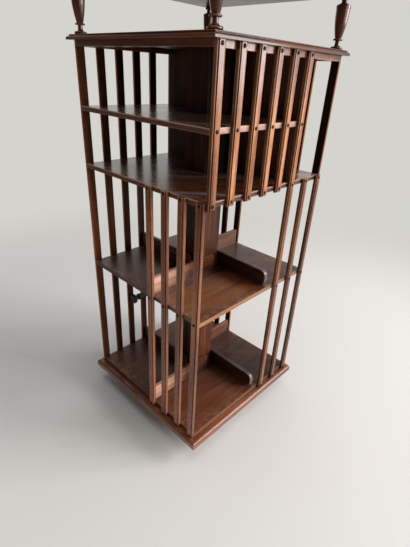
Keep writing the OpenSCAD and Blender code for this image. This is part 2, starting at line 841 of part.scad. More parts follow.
base_rail_a();
base_rail_b();
foot_1();
foot_2();
foot_3();
foot_4();
spindle_socket();
socket_screws();
spindle();
thrust_washer();
lower_bush();
bush_block();
upper_bush();
base_board();
bottom_shelf();
lower_shelf();
middle_shelf();
upper_shelf();
divider_panel();
post_front();
post_back();
post_left();
post_right();
bottom_fence_1();
bottom_fence_2();
bottom_fence_3();
bottom_fence_4();
lower_fence_1();
lower_fence_2();
lower_fence_3();
lower_fence_4();
frieze_front();
frieze_back();
frieze_left();
frieze_right();
top_board();
upper_board();
column_1();
column_2();
column_3();
column_4();
right_slat_1();
right_slat_2();
right_slat_3();
right_slat_4();
right_slat_5();
right_slat_6();
right_slat_7();
right_slat_8();
front_slat_1();
front_slat_2();
front_slat_3();
front_slat_4();
left_slats();
back_slats();
right_screws();
front_screws();
left_screws();
back_screws();
side_knob();
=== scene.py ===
"""Revolving bookcase: materials, floor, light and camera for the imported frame."""
import math
from types import SimpleNamespace
import bpy
from mathutils import Matrix, Vector

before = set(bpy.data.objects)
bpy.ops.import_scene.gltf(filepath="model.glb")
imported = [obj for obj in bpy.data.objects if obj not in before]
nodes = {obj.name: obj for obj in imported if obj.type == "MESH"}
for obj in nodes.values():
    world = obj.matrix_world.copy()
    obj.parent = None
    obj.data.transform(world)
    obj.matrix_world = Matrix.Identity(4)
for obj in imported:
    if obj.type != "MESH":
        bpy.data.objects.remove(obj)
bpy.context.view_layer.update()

# Height of the photograph in pixels, and the camera that fits it, with angles in degrees
PHOTO_H = 547
FOCAL_PX = 382.04
CAMERA_AT = Vector((0.7498, -0.7854, 1.0279))
CAMERA_AZIMUTH = 42.63
CAMERA_PITCH = 27.82
CAMERA_ROLL = 3.25
SENSOR = 36.0

# Tones of each wood from the dark vein to the bright fibre, and then the rubbed edge
SLAT_TONES = ("421c0e", "763e20", "9a5a33", "b67444", "d3a074")
BOARD_TONES = ("2e140b", "522a18", "6d3e25", "865236", "b08564")
# Painted window light on the front fence's outer end
LIT_FENCE_TONES = ("8a5a45", "b3826a", "d0a58e", "dfbaa5", "efdccd")
SHADED_TONES = ("130805", "22110a", "311910", "402316", "5c3c29")
RIGHT_TONES = ("38180c", "663620", "864d2c", "a0663d", "c4926a")
# Painted window light on faces towards the right
WINDOW_LIT_TONES = ("643823", "9d6541", "c5895f", "d7a57e", "e8cdb2")
# A painted highlight on the right end of the upper shelf
LIT_END_TONES = ("7a5648", "9c7666", "b79383", "c6a798", "dcc8bc")
FRONT_TONES = ("3a190d", "6a3a22", "8a5233", "a36b47", "c4977a")
DEEP_TONES = ("241009", "402113", "57311f", "6d442d", "94694d")
GREYED_TONES = ("281610", "432e25", "594338", "705c4d", "a08a78")
PANEL_TONES = ("1c0b06", "301810", "412315", "533120", "74513a")
# Its near-white last tone makes the rubbed fence rims both wear and a painted highlight
GLINTING_FENCE_TONES = (*PANEL_TONES[:4], "d9c6b4")
COLUMN_TONES = ("2a110a", "4a2415", "63351f", "7a4a2e", "a87a55")
POST_TONES = ("140703", "26110a", "361a0f", "462718", "64442f")
FOOT_TONES = ("3c1c0e", "6a381e", "8a5130", "a46a44", "c49570")
GOLDEN_TONES = ("37190d", "633519", "83502c", "9f6a40", "c29870")
BASE_TONES = ("25120a", "3b2213", "4f2f1c", "634028", "7c5a3e")

# Places of the first four tones in a wood's figure, and the tones that are also used by themselves
TONE_PLACES = (0.34, 0.48, 0.60, 0.72)
VEIN = 0
RUBBED = 4

# Sockets of a mix node that are for colours
MIX_FACTOR = 0
MIX_A = 6
MIX_B = 7
MIX_RESULT = 2

# Single colours on the wood: some that age has left, and some painted light, sheen and shade
# A painted highlight on shelf edges, and a darker tone for shelf edges
LIT_EDGE = "d39254"
DARK_EDGE = "5e321a"
# A painted highlight along shelf arrises
ARRIS_HIGHLIGHT = "c79f86"
# Painted shade in inner corners
CORNER_SHADE = "1c100a"
SEAM_GLUE = "170d08"
# Dust, and a painted grey sheen
DUST_AND_SHEEN = "a5a3a6"
SCUFFED = "a08f82"


# Small helpers for building node trees
def put(tree, kind, inputs=None, **props):
    """Adds a node, sets its properties, and sets or links its inputs."""
    made = tree.nodes.new(kind)
    for key, value in props.items():
        setattr(made, key, value)
    for key, value in (inputs or {}).items():
        if isinstance(value, bpy.types.NodeSocket):
            tree.links.new(value, made.inputs[key])
        else:
            made.inputs[key].default_value = value
    return made


def math_node(tree, operation, a, b=0.0, clamp=False):
    return put(tree, "ShaderNodeMath", {0: a, 1: b}, operation=operation, use_clamp=clamp).outputs[0]


def plus(tree, a, b, clamp=False):
    return math_node(tree, "ADD", a, b, clamp)


def minus(tree, a, b):
    return math_node(tree, "SUBTRACT", a, b)


def times(tree, a, b):
    return math_node(tree, "MULTIPLY", a, b)


def larger(tree, a, b):
    return math_node(tree, "MAXIMUM", a, b)


def size_of(tree, a):
    return math_node(tree, "ABSOLUTE", a)


def mix_colour(tree, factor, a, b):
    inputs = {MIX_FACTOR: factor, MIX_A: a, MIX_B: b}
    return put(tree, "ShaderNodeMix", inputs, data_type="RGBA").outputs[MIX_RESULT]


def noise(tree, vector, scale, detail, rough, distortion=0.0):
    return put(tree, "ShaderNodeTexNoise", {
        "Vector": vector, "Scale": scale, "Detail": detail, "Roughness": rough, "Distortion": distortion,
    }).outputs["Fac"]


def remap(tree, value, low, high, to_low=0.0, to_high=1.0, ease="LINEAR"):
    inputs = {"Value": value, "From Min": low, "From Max": high, "To Min": to_low, "To Max": to_high}
    return put(tree, "ShaderNodeMapRange", inputs, clamp=True, interpolation_type=ease).outputs[0]


def combine(tree, x, y, z):
    return put(tree, "ShaderNodeCombineXYZ", {0: x, 1: y, 2: z}).outputs[0]


def separate(tree, vector):
    return put(tree, "ShaderNodeSeparateXYZ", {0: vector}).outputs


def drawn_noise(tree, wide, deep, along, draw, scale, detail, rough):
    """Noise with its third coordinate scaled, so that a small draw stretches it along that axis."""
    return noise(tree, combine(tree, wide, deep, times(tree, along, draw)), scale, detail, rough)


def new_tree(name):
    mat = bpy.data.materials.new(name)
    mat.use_nodes = True
    mat.node_tree.nodes.clear()
    return mat, mat.node_tree


def show(tree, shader):
    put(tree, "ShaderNodeOutputMaterial", {0: shader.outputs[0]})


def rgba(text):
    """Linear colour of a written sRGB hex value, with full alpha."""
    parts = [int(text[i:i + 2], 16) / 255 for i in (0, 2, 4)]
    linear = [c / 12.92 if c <= 0.04045 else ((c + 0.055) / 1.055) ** 2.4 for c in parts]
    return (*linear, 1.0)


def tone_ramp(tree, figure, tones):
    """The first four tones of a wood, spread over its figure from the dark vein to the bright fibre."""
    made = put(tree, "ShaderNodeValToRGB", {0: figure})
    stops = made.color_ramp.elements
    made.color_ramp.interpolation = "EASE"
    while len(stops) < len(TONE_PLACES):
        # A new stop needs some place, and gets its own below
        stops.new(0.5)
    for stop, place, tone in zip(stops, TONE_PLACES, tones):
        stop.position = place
        stop.color = rgba(tone)
    return made.outputs[0]


# Figure of the wood: the noise of each layer, drawn out along the grain
NOISE_MIDDLE = 0.5
SWAY = {"draw": 0.35, "scale": 7.0, "detail": 2.0, "rough": 0.5}
SWAY_SHIFT = 0.035
BANDS = {"draw": 0.05, "scale": 55.0, "detail": 4.0, "rough": 0.55}
FIBRES = {"draw": 0.025, "scale": 380.0, "detail": 3.0, "rough": 0.6}
PORES = {"draw": 0.05, "scale": 1300.0, "detail": 2.0, "rough": 0.5}
PATCHES = {"draw": 0.7, "scale": 6.0, "detail": 3.0, "rough": 0.55}
SMEAR = {"scale": 16.0, "detail": 4.0, "rough": 0.6}
BAND_SHARE = 0.7
FIBRE_SHARE = 0.3
PATCH_SHARE = 0.22
PLANK_SHARE = 0.06
FIGURE_LOW = 0.2
FIGURE_MIDDLE = 0.57
FIGURE_HIGH = 1.0

# Mitred border and glued boards: the shifts between pieces, the left edge, and the half width of a seam
BORDER_SHIFT = 0.37
PLANK_SHIFT = 3.7
SHELF_HALF = 0.23
SEAM = (0.0004, 0.0012)


def grain_axes(tree, x, y, z, grain, mitre):
    """Two coordinates across the grain, and one along it."""
    if not mitre:
        return {"X": (y, z, x), "Y": (z, x, y), "Z": (x, y, z)}[grain]
    # Within the border the grain turns to follow each edge
    abs_x = size_of(tree, x)
    abs_y = size_of(tree, y)
    in_border = math_node(tree, "GREATER_THAN", larger(tree, abs_x, abs_y), mitre)
    turned = times(tree, in_border, math_node(tree, "GREATER_THAN", abs_y, abs_x))
    keep = minus(tree, 1.0, turned)
    across = plus(tree, times(tree, x, keep), times(tree, y, turned))
    along = plus(tree, times(tree, y, keep), times(tree, x, turned))
    return z, plus(tree, across, times(tree, in_border, BORDER_SHIFT)), along


def glue_planks(tree, place, along, plank):
    """Boards glued side by side, each cut from another place: the length along, each tone, and the seams."""
    start = plus(tree, place, SHELF_HALF)
    count = math_node(tree, "FLOOR", math_node(tree, "DIVIDE", start, plank))
    random = put(tree, "ShaderNodeTexWhiteNoise", {"W": count}, noise_dimensions="1D").outputs["Value"]
    seam = remap(tree, math_node(tree, "PINGPONG", start, plank / 2), *SEAM, 1.0, 0.0)
    return plus(tree, along, times(tree, random, PLANK_SHIFT)), minus(tree, random, NOISE_MIDDLE), seam


def wood_surface(tree, grain, plank, plank_axis, mitre, calm):
    """The place, the facing and the figure of a wood, which all its layers share."""
    places = put(tree, "ShaderNodeTexCoord").outputs
    split = separate(tree, places["Object"])
    at = SimpleNamespace(coords=places["Object"], x=split["X"], y=split["Y"], z=split["Z"], seam=None)
    at.facing = separate(tree, places["Normal"])
    wide, deep, along = grain_axes(tree, at.x, at.y, at.z, grain, mitre)
    if plank:
        along, plank_tone, at.seam = glue_planks(tree, split[plank_axis], along, plank)
    sway = drawn_noise(tree, wide, deep, along, **SWAY)
    shift = times(tree, minus(tree, sway, NOISE_MIDDLE), SWAY_SHIFT)
    wide = plus(tree, wide, shift)
    deep = plus(tree, deep, shift)
    at.bands = drawn_noise(tree, wide, deep, along, **BANDS)
    at.fibres = drawn_noise(tree, wide, deep, along, **FIBRES)
    at.pores = drawn_noise(tree, wide, deep, along, **PORES)
    at.patches = drawn_noise(tree, at.x, at.y, at.z, **PATCHES)
    figure = plus(tree, times(tree, at.bands, BAND_SHARE), times(tree, at.fibres, FIBRE_SHARE))
    figure = plus(tree, figure, times(tree, minus(tree, at.patches, NOISE_MIDDLE), PATCH_SHARE))
    if calm < 1.0:
        # A quieter figure, pulled towards the middle tone
        to_low = FIGURE_MIDDLE - (FIGURE_MIDDLE - FIGURE_LOW) * calm
        to_high = FIGURE_MIDDLE + (FIGURE_HIGH - FIGURE_MIDDLE) * calm
        figure = remap(tree, figure, FIGURE_LOW, FIGURE_HIGH, to_low, to_high)
    if plank:
        figure = plus(tree, figure, times(tree, plank_tone, PLANK_SHARE))
    at.figure = figure
    return at


# Part of a normal along an axis from which a face starts to count as facing it, and from which it fully does
FACING = (0.6, 0.9)

# Spans of the masks below: where each starts and ends, and some with the values that it takes there
LIT_X = (-0.06, 0.12)
LIT_Y = (0.05, -0.03)
DIM_X = (0.0, 0.06)
DIM_Y = (0.03, 0.06)
INWARD = (-0.12, -0.2)
FAR_INWARD = (-0.04, -0.12)
FAR_UNLIT_Y = (-0.23, -0.13, 0.4, 1.0)
FAR_UNLIT_Z = (0.75, 0.3, 0.0, 0.8)
EDGE_BANDS = (0.35, 0.65, 0.5, 1.0)
UPRIGHT = (0.4, 0.6, 1.0, 0.0)
ARRIS_DOWN = (0.0032, 0.0016)
ARRIS_REACH = (0.2265, 0.2285)
ARRIS_PATCHES = (0.3, 0.6, 0.35, 0.8)
WORN_RIM = (0.45, 0.80, 1.0, 0.0)
WORN_PATCHES = (0.35, 0.65, 0.35, 1.0)
OPEN_NOOK = (0.5, 0.85)
SCUFF_REACH = (0.195, 0.228)
SCUFF_NOISE = {"scale": 70.0, "detail": 6.0, "rough": 0.75}
SCUFF_SPOTS = (0.5, 0.7)
SWIPE_NOISE = {"scale": 1.5, "detail": 3.0, "rough": 0.5, "distortion": 0.7}
SWIPE_ACROSS = 16.0
SWIPE_ALONG = 1.6
SWIPE_SLICE = 0.3
SWIPE_STREAKS = (0.48, 0.74)
AO_SAMPLES = 6


def openness(tree, reach, **props):
    """How open a place is, from 0 in a deep corner to 1 on a bare face."""
    inputs = {"Distance": reach}
    return put(tree, "ShaderNodeAmbientOcclusion", inputs, samples=AO_SAMPLES, **props).outputs["AO"]


def painted_lit_quarter(tree, at):
    """Painted light on the front right quarter of a shelf, where the window light falls."""
    return times(tree, remap(tree, at.x, *LIT_X), remap(tree, at.y, *LIT_Y))


def painted_shade_quarter(tree, at):
    """Painted shade on the far right quarter of a shelf, behind the right-hand fence."""
    return times(tree, remap(tree, at.x, *DIM_X), remap(tree, at.y, *DIM_Y))


def painted_inner_shade(tree, at, far_side):
    """Painted shade on faces turned to the inside of the case, darker than the outer faces."""
    towards = plus(tree, times(tree, at.x, at.facing["X"]), times(tree, at.y, at.facing["Y"]))
    if not far_side:
        return remap(tree, towards, *INWARD)
    # The far slats are dark to their inner arris, but the foremost still get some light
    unlit = larger(tree, remap(tree, at.y, *FAR_UNLIT_Y), remap(tree, at.z, *FAR_UNLIT_Z))
    return times(tree, remap(tree, towards, *FAR_INWARD), unlit)


def painted_window_light(tree, at, rise, fall):
    """Painted window light on faces on the right, between the heights where the mask rises and falls."""
    band = times(tree, remap(tree, at.z, *rise), remap(tree, at.z, *fall, 1.0, 0.0))
    return times(tree, remap(tree, at.facing["X"], *FACING), band)


def tinted_long_edges(tree, at, grain, strength):
    """The long side edges of a shelf, tinted: a painted highlight with the bright edge tone, only darker
    with the dark one.
    """
    across = {"X": "Y", "Y": "X"}[grain]
    side = remap(tree, size_of(tree, at.facing[across]), *FACING, 0.0, strength)
    return times(tree, side, remap(tree, at.bands, *EDGE_BANDS))


def painted_arris_highlight(tree, at, top):
    """A painted highlight along the upper arris of a shelf."""
    start, end = ARRIS_DOWN
    reach = larger(tree, size_of(tree, at.x), times(tree, at.y, -1.0))
    upright = remap(tree, size_of(tree, at.facing["Z"]), *UPRIGHT)
    on_side = times(tree, upright, remap(tree, at.z, top - start, top - end))
    on_top = times(tree, remap(tree, at.facing["Z"], *FACING), remap(tree, reach, *ARRIS_REACH))
    return times(tree, plus(tree, on_side, on_top, True), remap(tree, at.patches, *ARRIS_PATCHES))


def worn_rims(tree, at, nook, wear, worn_in, worn_along):
    """Rubbed edges, which show lighter wood where no other piece is close."""
    rim = openness(tree, worn_in, inside=True, only_local=True)
    worn = times(tree, remap(tree, rim, *WORN_RIM), remap(tree, at.patches, *WORN_PATCHES))
    worn = times(tree, worn, wear)
    if worn_along:
        # Worn most towards the outer end, where a near-white rubbed tone also paints a highlight
        worn = times(tree, worn, remap(tree, at.x, *worn_along))
    return times(tree, worn, remap(tree, nook, *OPEN_NOOK))


def dust_and_sheen_swipes(tree, at, strength):
    """Long soft swipes across the upper face, cornerwise: dust, and a painted grey sheen."""
    across = times(tree, minus(tree, at.x, at.y), SWIPE_ACROSS)
    along = times(tree, plus(tree, at.x, at.y), SWIPE_ALONG)
    streaks = noise(tree, combine(tree, across, along, SWIPE_SLICE), **SWIPE_NOISE)
    streaks = remap(tree, streaks, *SWIPE_STREAKS, 0.0, strength)
    return times(tree, streaks, remap(tree, at.facing["Z"], *FACING))


def scuff_marks(tree, at, strength):
    """Bare grey patches where books have rubbed the polish off near the outer edges."""
    reach = larger(tree, size_of(tree, at.x), size_of(tree, at.y))
    near_edge = times(tree, remap(tree, reach, *SCUFF_REACH), remap(tree, at.facing["Z"], *FACING))
    spots = remap(tree, noise(tree, combine(tree, at.x, at.y, 0.0), **SCUFF_NOISE), *SCUFF_SPOTS)
    return times(tree, times(tree, near_edge, spots), strength)


# Pores, end grain, painted corner shade and seams: the spans of their masks and their strengths
PORE_SPAN = (0.60, 0.70, 0.0, 0.5)
END_GRAIN = 0.6
NOOK_REACH = 0.02
CORNER_SHADE_NOOK = (0.25, 0.75, 1.0, 0.0)
CORNER_SHADE_AMOUNT = 0.6
SEAM_DARK = 0.3

# Roughness added by pores, scuffs, inner faces and shelf edges, and the spread of the smears round the gloss
PORE_ROUGH = 0.25
SCUFF_ROUGH = 0.3
INWARD_ROUGH = 0.28
EDGE_ROUGH = (0.2, 0.8, 0.16, 0.0)
SMEAR_SPAN = (0.3, 0.7)
SMEAR_GLOSSIER = 0.04
SMEAR_DULLER = 0.06

# Relief of the fibres, pores and seams
FIBRE_RELIEF = 0.4
SEAM_RELIEF = 0.5
WOOD_BUMP = {"Strength": 0.25, "Distance": 0.0004}
BEVEL_SAMPLES = 4


# Polished red-brown wood; the grain runs along one axis, or round the edges of a mitred board
def wood(name, grain, tones, plank=0.0, plank_axis="X", gloss=0.34, coat=0.22, coat_rough=0.2, shine=0.32,
         wear=0.5, worn_in=0.004, worn_along=None, edge=0.0012, mitre=0.0, calm=1.0, long_edge_tint=0.0,
         edge_tone=LIT_EDGE, scuff=0.0, dust_and_sheen=0.0, inner_shade_tones=None, far_side=False, lit_outer_end=None, window_lit=None,
         side_shade_tones=None, arris=None, lit_quarter=None, shaded_quarter=None):
    mat, tree = new_tree(name)
    at = wood_surface(tree, grain, plank, plank_axis, mitre, calm)

    # Other tones where light and shade are painted on: a lit quarter, a shaded quarter, inner faces, narrow
    # sides and a lit outer end
    tints = []
    # Painted light on the front right quarter
    if lit_quarter:
        tints.append((painted_lit_quarter(tree, at), lit_quarter))
    # Painted shade on the far right quarter
    if shaded_quarter:
        tints.append((painted_shade_quarter(tree, at), shaded_quarter))
    # Painted shade on the faces turned inward
    if inner_shade_tones:
        inner_shade = painted_inner_shade(tree, at, far_side)
        tints.append((inner_shade, inner_shade_tones))
    if side_shade_tones:
        # Painted shade: the narrow sides are darker than the lit faces
        tints.append((remap(tree, size_of(tree, at.facing["Y"]), *FACING), side_shade_tones))
    if lit_outer_end:
        # Painted light: paler towards the outer end, where the window light reaches it
        tints.append((remap(tree, at.y, *lit_outer_end["rise"]), lit_outer_end["tones"]))
    colour = tone_ramp(tree, at.figure, tones)
    for mask, other_tones in tints:
        colour = mix_colour(tree, mask, colour, tone_ramp(tree, at.figure, other_tones))

    pore_mask = remap(tree, at.pores, *PORE_SPAN)
    colour = mix_colour(tree, pore_mask, colour, rgba(tones[VEIN]))
    if not mitre:
        # End grain drinks the polish and stays darker
        end_grain = remap(tree, size_of(tree, at.facing[grain]), *FACING, 0.0, END_GRAIN)
        colour = mix_colour(tree, end_grain, colour, rgba(tones[VEIN]))
    # Painted window light on faces towards the right
    if window_lit:
        lit_by_window = painted_window_light(tree, at, window_lit["rise"], window_lit["fall"])
        colour = mix_colour(tree, lit_by_window, colour, tone_ramp(tree, at.figure, window_lit["tones"]))
    # A painted highlight on the long side edges with the bright tone; with the dark tone they are only
    # darker
    if long_edge_tint:
        colour = mix_colour(tree, tinted_long_edges(tree, at, grain, long_edge_tint), colour, rgba(edge_tone))
    # Painted highlight along the upper arris
    if arris:
        colour = mix_colour(tree, painted_arris_highlight(tree, at, arris), colour, rgba(ARRIS_HIGHLIGHT))

    # Rubbed rims show lighter wood, and inner corners are darkened with painted shade
    nook = openness(tree, NOOK_REACH)
    worn = worn_rims(tree, at, nook, wear, worn_in, worn_along)
    colour = mix_colour(tree, worn, colour, rgba(tones[RUBBED]))
    corner_shade = times(tree, remap(tree, nook, *CORNER_SHADE_NOOK), CORNER_SHADE_AMOUNT)
    colour = mix_colour(tree, corner_shade, colour, rgba(CORNER_SHADE))
    if at.seam:
        colour = mix_colour(tree, times(tree, at.seam, SEAM_DARK), colour, rgba(SEAM_GLUE))
    # Swipes of dust and painted grey sheen
    if dust_and_sheen:
        colour = mix_colour(tree, dust_and_sheen_swipes(tree, at, dust_and_sheen), colour, rgba(DUST_AND_SHEEN))
    if scuff:
        scuffed = scuff_marks(tree, at, scuff)
        colour = mix_colour(tree, scuffed, colour, rgba(SCUFFED))

    smear = noise(tree, at.coords, **SMEAR)
    rough = remap(tree, smear, *SMEAR_SPAN, gloss - SMEAR_GLOSSIER, gloss + SMEAR_DULLER)
    rough = plus(tree, rough, times(tree, pore_mask, PORE_ROUGH))
    if scuff:
        rough = plus(tree, rough, times(tree, scuffed, SCUFF_ROUGH))
    if inner_shade_tones:
        rough = plus(tree, rough, times(tree, inner_shade, INWARD_ROUGH))
    if long_edge_tint:
        rough = plus(tree, rough, remap(tree, size_of(tree, at.facing["Z"]), *EDGE_ROUGH))

    height = minus(tree, times(tree, at.fibres, FIBRE_RELIEF), pore_mask)
    if at.seam:
        height = minus(tree, height, times(tree, at.seam, SEAM_RELIEF))
    soft_edge = put(tree, "ShaderNodeBevel", {"Radius": edge}, samples=BEVEL_SAMPLES).outputs[0]
    bump = put(tree, "ShaderNodeBump", {**WOOD_BUMP, "Height": height, "Normal": soft_edge}).outputs[0]
    show(tree, put(tree, "ShaderNodeBsdfPrincipled", {
        "Base Color": colour, "Roughness": rough, "Normal": bump, "Specular IOR Level": shine,
        "Coat Weight": coat, "Coat Roughness": coat_rough,
    }))
    return mat


# Stains, grains and tarnish of the metals
METAL_STAINS = {"scale": 90.0, "detail": 4.0, "rough": 0.6}
METAL_GRAINS = {"scale": 700.0, "detail": 3.0, "rough": 0.6}
STAIN_SPAN = (0.35, 0.65, 0.0, 0.7)
METAL_NOOK_REACH = 0.004
TARNISH_NOOK = (0.3, 0.8, 0.6, 0.0)
GRAIN_SHARE = 0.4
METAL_ROUGH_SPAN = (0.4, 1.0)
METAL_SMOOTHER = 0.08
METAL_ROUGHER = 0.2
METAL_BUMP = {"Strength": 0.2, "Distance": 0.0002}


# Metal with fine scratches and tarnish
def metal(name, bright, dark, rough, metallic=1.0):
    mat, tree = new_tree(name)
    coords = put(tree, "ShaderNodeTexCoord").outputs["Object"]
    stains = noise(tree, coords, **METAL_STAINS)
    grains = noise(tree, coords, **METAL_GRAINS)
    nook = openness(tree, METAL_NOOK_REACH)
    tarnish = plus(tree, remap(tree, stains, *STAIN_SPAN), remap(tree, nook, *TARNISH_NOOK), True)
    uneven = plus(tree, stains, times(tree, grains, GRAIN_SHARE))
    show(tree, put(tree, "ShaderNodeBsdfPrincipled", {
        "Base Color": mix_colour(tree, tarnish, rgba(bright), rgba(dark)),
        "Roughness": remap(tree, uneven, *METAL_ROUGH_SPAN, rough - METAL_SMOOTHER, rough + METAL_ROUGHER),
        "Normal": put(tree, "ShaderNodeBump", {**METAL_BUMP, "Height": grains}).outputs[0],
        "Metallic": metallic,
    }))
    return mat


def top_of(name):
    return max(corner[2] for corner in nodes[name].bound_box)


# Slats and columns; the right slats carry painted window light, golden above the middle shelf
# Painted shade on the inner faces of all slats
SLAT = {"gloss": 0.26, "coat": 0.36, "coat_rough": 0.16, "shine": 0.26, "inner_shade_tones": SHADED_TONES}
# Painted shade on the right slats' narrow sides
right_slat_wood = wood(
    "right_slat_wood", "Z", RIGHT_TONES, side_shade_tones=BOARD_TONES,
    window_lit={"tones": WINDOW_LIT_TONES, "rise": (0.76, 0.80), "fall": (0.93, 1.04)}, **SLAT)
front_slat_wood = wood("front_slat_wood", "Z", FRONT_TONES, **SLAT)
far_slat_wood = wood(
    "far_slat_wood", "Z", SLAT_TONES, gloss=0.32, coat=0.0, shine=0.12, wear=0.12, edge=0.0002,
    inner_shade_tones=SHADED_TONES, far_side=True)
column_wood = wood("column_wood", "Z", COLUMN_TONES, gloss=0.22, coat=0.6, coat_rough=0.07, wear=0.3)

# Shelves of three boards each; the two upper ones are greyer, with swipes of dust and painted sheen, and the
# two lower ones are duller
PLANK_W = 0.1533
SHELF = {"plank": PLANK_W, "gloss": 0.24, "coat": 0.6, "coat_rough": 0.19, "wear": 0.45, "calm": 0.6,
         "scuff": 0.5, "edge": 0.003}
GREY_SHELF = {**SHELF, "plank_axis": "Y", "long_edge_tint": 0.8, "edge_tone": DARK_EDGE, "dust_and_sheen": 0.5}
SATIN_SHELF = {**SHELF, "gloss": 0.33, "coat": 0.3, "coat_rough": 0.28}
# The lower two shelves' long side edges carry a painted highlight
LOWER_SHELF = {**SATIN_SHELF, "scuff": 0.95, "long_edge_tint": 0.9, "dust_and_sheen": 0.05}
BOTTOM_SHELF = {**SATIN_SHELF, "coat": 0.2, "shine": 0.24, "long_edge_tint": 0.3, "dust_and_sheen": 0.04}
# The upper shelf's right end carries a painted highlight
upper_shelf_wood = wood(
    "upper_shelf_wood", "X", GREYED_TONES, arris=top_of("upper_shelf"),
    window_lit={"tones": LIT_END_TONES, "rise": (0.0, 0.01), "fall": (1.1, 1.2)}, **GREY_SHELF)
middle_shelf_wood = wood("middle_shelf_wood", "X", BOARD_TONES, arris=top_of("middle_shelf"), **GREY_SHELF)
# Painted light on the front right quarter of the two lower shelves
lower_shelf_wood = wood("lower_shelf_wood", "Y", DEEP_TONES, lit_quarter=GOLDEN_TONES, **LOWER_SHELF)
# Painted shade on the far right quarter of the bottom shelf
bottom_shelf_wood = wood(
    "bottom_shelf_wood", "Y", DEEP_TONES, lit_quarter=BOARD_TONES, shaded_quarter=PANEL_TONES, **BOTTOM_SHELF)

# Moulded boards, panel, friezes, post, fences and base
MOULD = {"coat_rough": 0.1, "wear": 0.25, "mitre": 0.226}
FOOT_MOULD = {**MOULD, "coat_rough": 0.09}
mould_wood = wood("mould_wood", "Y", BOARD_TONES, gloss=0.38, coat=0.38, shine=0.16, **MOULD)
foot_mould_wood = wood("foot_mould_wood", "Y", FOOT_TONES, gloss=0.34, coat=0.6, **FOOT_MOULD)
panel_wood = wood("panel_wood", "Z", PANEL_TONES, plank=PLANK_W, gloss=0.52, coat=0.0, shine=0.2)
rail_x_wood = wood("rail_x_wood", "X", DEEP_TONES, coat=0.12)
rail_y_wood = wood("rail_y_wood", "Y", SLAT_TONES, gloss=0.27, coat=0.25, coat_rough=0.16)
# The post's right-hand faces carry painted window light
post_wood = wood(
    "post_wood", "Z", POST_TONES, coat=0.1, shine=0.25,
    window_lit={"tones": BOARD_TONES, "rise": (0.0, 0.01), "fall": (0.74, 0.8)})
# The right-hand fence's rubbed rims, pale towards the outer end, are wear and a painted highlight
fence_x_wood = wood(
    "fence_x_wood", "X", GLINTING_FENCE_TONES, wear=1.0, worn_in=0.007, worn_along=(0.08, 0.2, 0.3, 1.0))
far_fence_wood = wood("far_fence_wood", "X", PANEL_TONES, wear=0.6)
fence_y_wood = wood("fence_y_wood", "Y", BOARD_TONES, wear=0.8)
# The front fence carries painted window light towards its outer end
front_fence_wood = wood(
    "front_fence_wood", "Y", BOARD_TONES, wear=0.8, lit_outer_end={"tones": LIT_FENCE_TONES, "rise": (-0.09, -0.19)})
base_wood = wood("base_wood", "X", BASE_TONES, gloss=0.55, coat=0.0, wear=0.3)

screw_metal = metal("screw_metal", "4a3b2d", "1a130d", rough=0.44)
knob_metal = metal("knob_metal", "3a3735", "161413", rough=0.45, metallic=0.6)
spindle_steel = metal("spindle_steel", "8f9194", "55565a", rough=0.30)
bush_brass = metal("bush_brass", "b8934c", "6f5426", rough=0.32)
socket_iron = metal("socket_iron", "2e2e30", "141414", rough=0.60, metallic=0.8)

# Materials by a node's whole name, or by the start or the end of it
BY_NAME = {
    "upper_board": mould_wood,
    "top_board": mould_wood,
    "base_board": foot_mould_wood,
    "divider_panel": panel_wood,
    "upper_shelf": upper_shelf_wood,
    "middle_shelf": middle_shelf_wood,
    "lower_shelf": lower_shelf_wood,
    "bottom_shelf": bottom_shelf_wood,
    "frieze_front": rail_x_wood,
    "frieze_back": rail_x_wood,
    "frieze_left": rail_y_wood,
    "frieze_right": rail_y_wood,
    "side_knob": knob_metal,
    "spindle": spindle_steel,
    "thrust_washer": bush_brass,
    "upper_bush": bush_brass,
    "lower_bush": socket_iron,
    "spindle_socket": socket_iron,
    "bush_block": base_wood,
}
BY_START = {
    "right_slat_": right_slat_wood,
    "front_slat_": front_slat_wood,
    "column_": column_wood,
    "post_": post_wood,
    "base_rail_": base_wood,
    "foot_": base_wood,
}
BY_END = {
    "_slats": far_slat_wood,
    "_screws": screw_metal,
    "_fence_1": front_fence_wood,
    "_fence_2": fence_x_wood,
    "_fence_3": fence_y_wood,
    "_fence_4": far_fence_wood,
}


def material_of(name):
    if name in BY_NAME:
        return BY_NAME[name]
    by_start = [mat for start, mat in BY_START.items() if name.startswith(start)]
    by_end = [mat for end, mat in BY_END.items() if name.endswith(end)]
    return (by_start + by_end)[0]


for name, obj in nodes.items():
    obj.data.materials.clear()
    obj.data.materials.append(material_of(name))


# Pale background as a linear colour; reflections see a room that is dimmer on the front side
BACKDROP_COLOUR = (0.66, 0.65, 0.61, 1.0)
DIM_SIDE = 0.08
DIM_SPAN = (-0.55, 0.1)


def room_light(tree, towards_back):
    return remap(tree, towards_back, *DIM_SPAN, DIM_SIDE, 1.0)


# Floor: a disc, the noise of its tone, its two linear colours, and the distances where it fades out
FLOOR_SIDES = 64
FLOOR_R = 14.0
FLOOR_CLOUDS = {"scale": 2.2, "detail": 4.0, "rough": 0.6}
FLOOR_SPECKS = {"scale": 60.0, "detail": 3.0, "rough": 0.6}
FLOOR_NOISE_SPAN = (0.3, 0.7)
CLOUD_TONE = 0.03
SPECK_TONE = 0.015
FLOOR_DARK = (0.66, 0.655, 0.63, 1.0)
FLOOR_LIGHT = (0.76, 0.755, 0.73, 1.0)
FLOOR_ROUGH = 0.85
FLOOR_FADE = (0.9, 2.3)


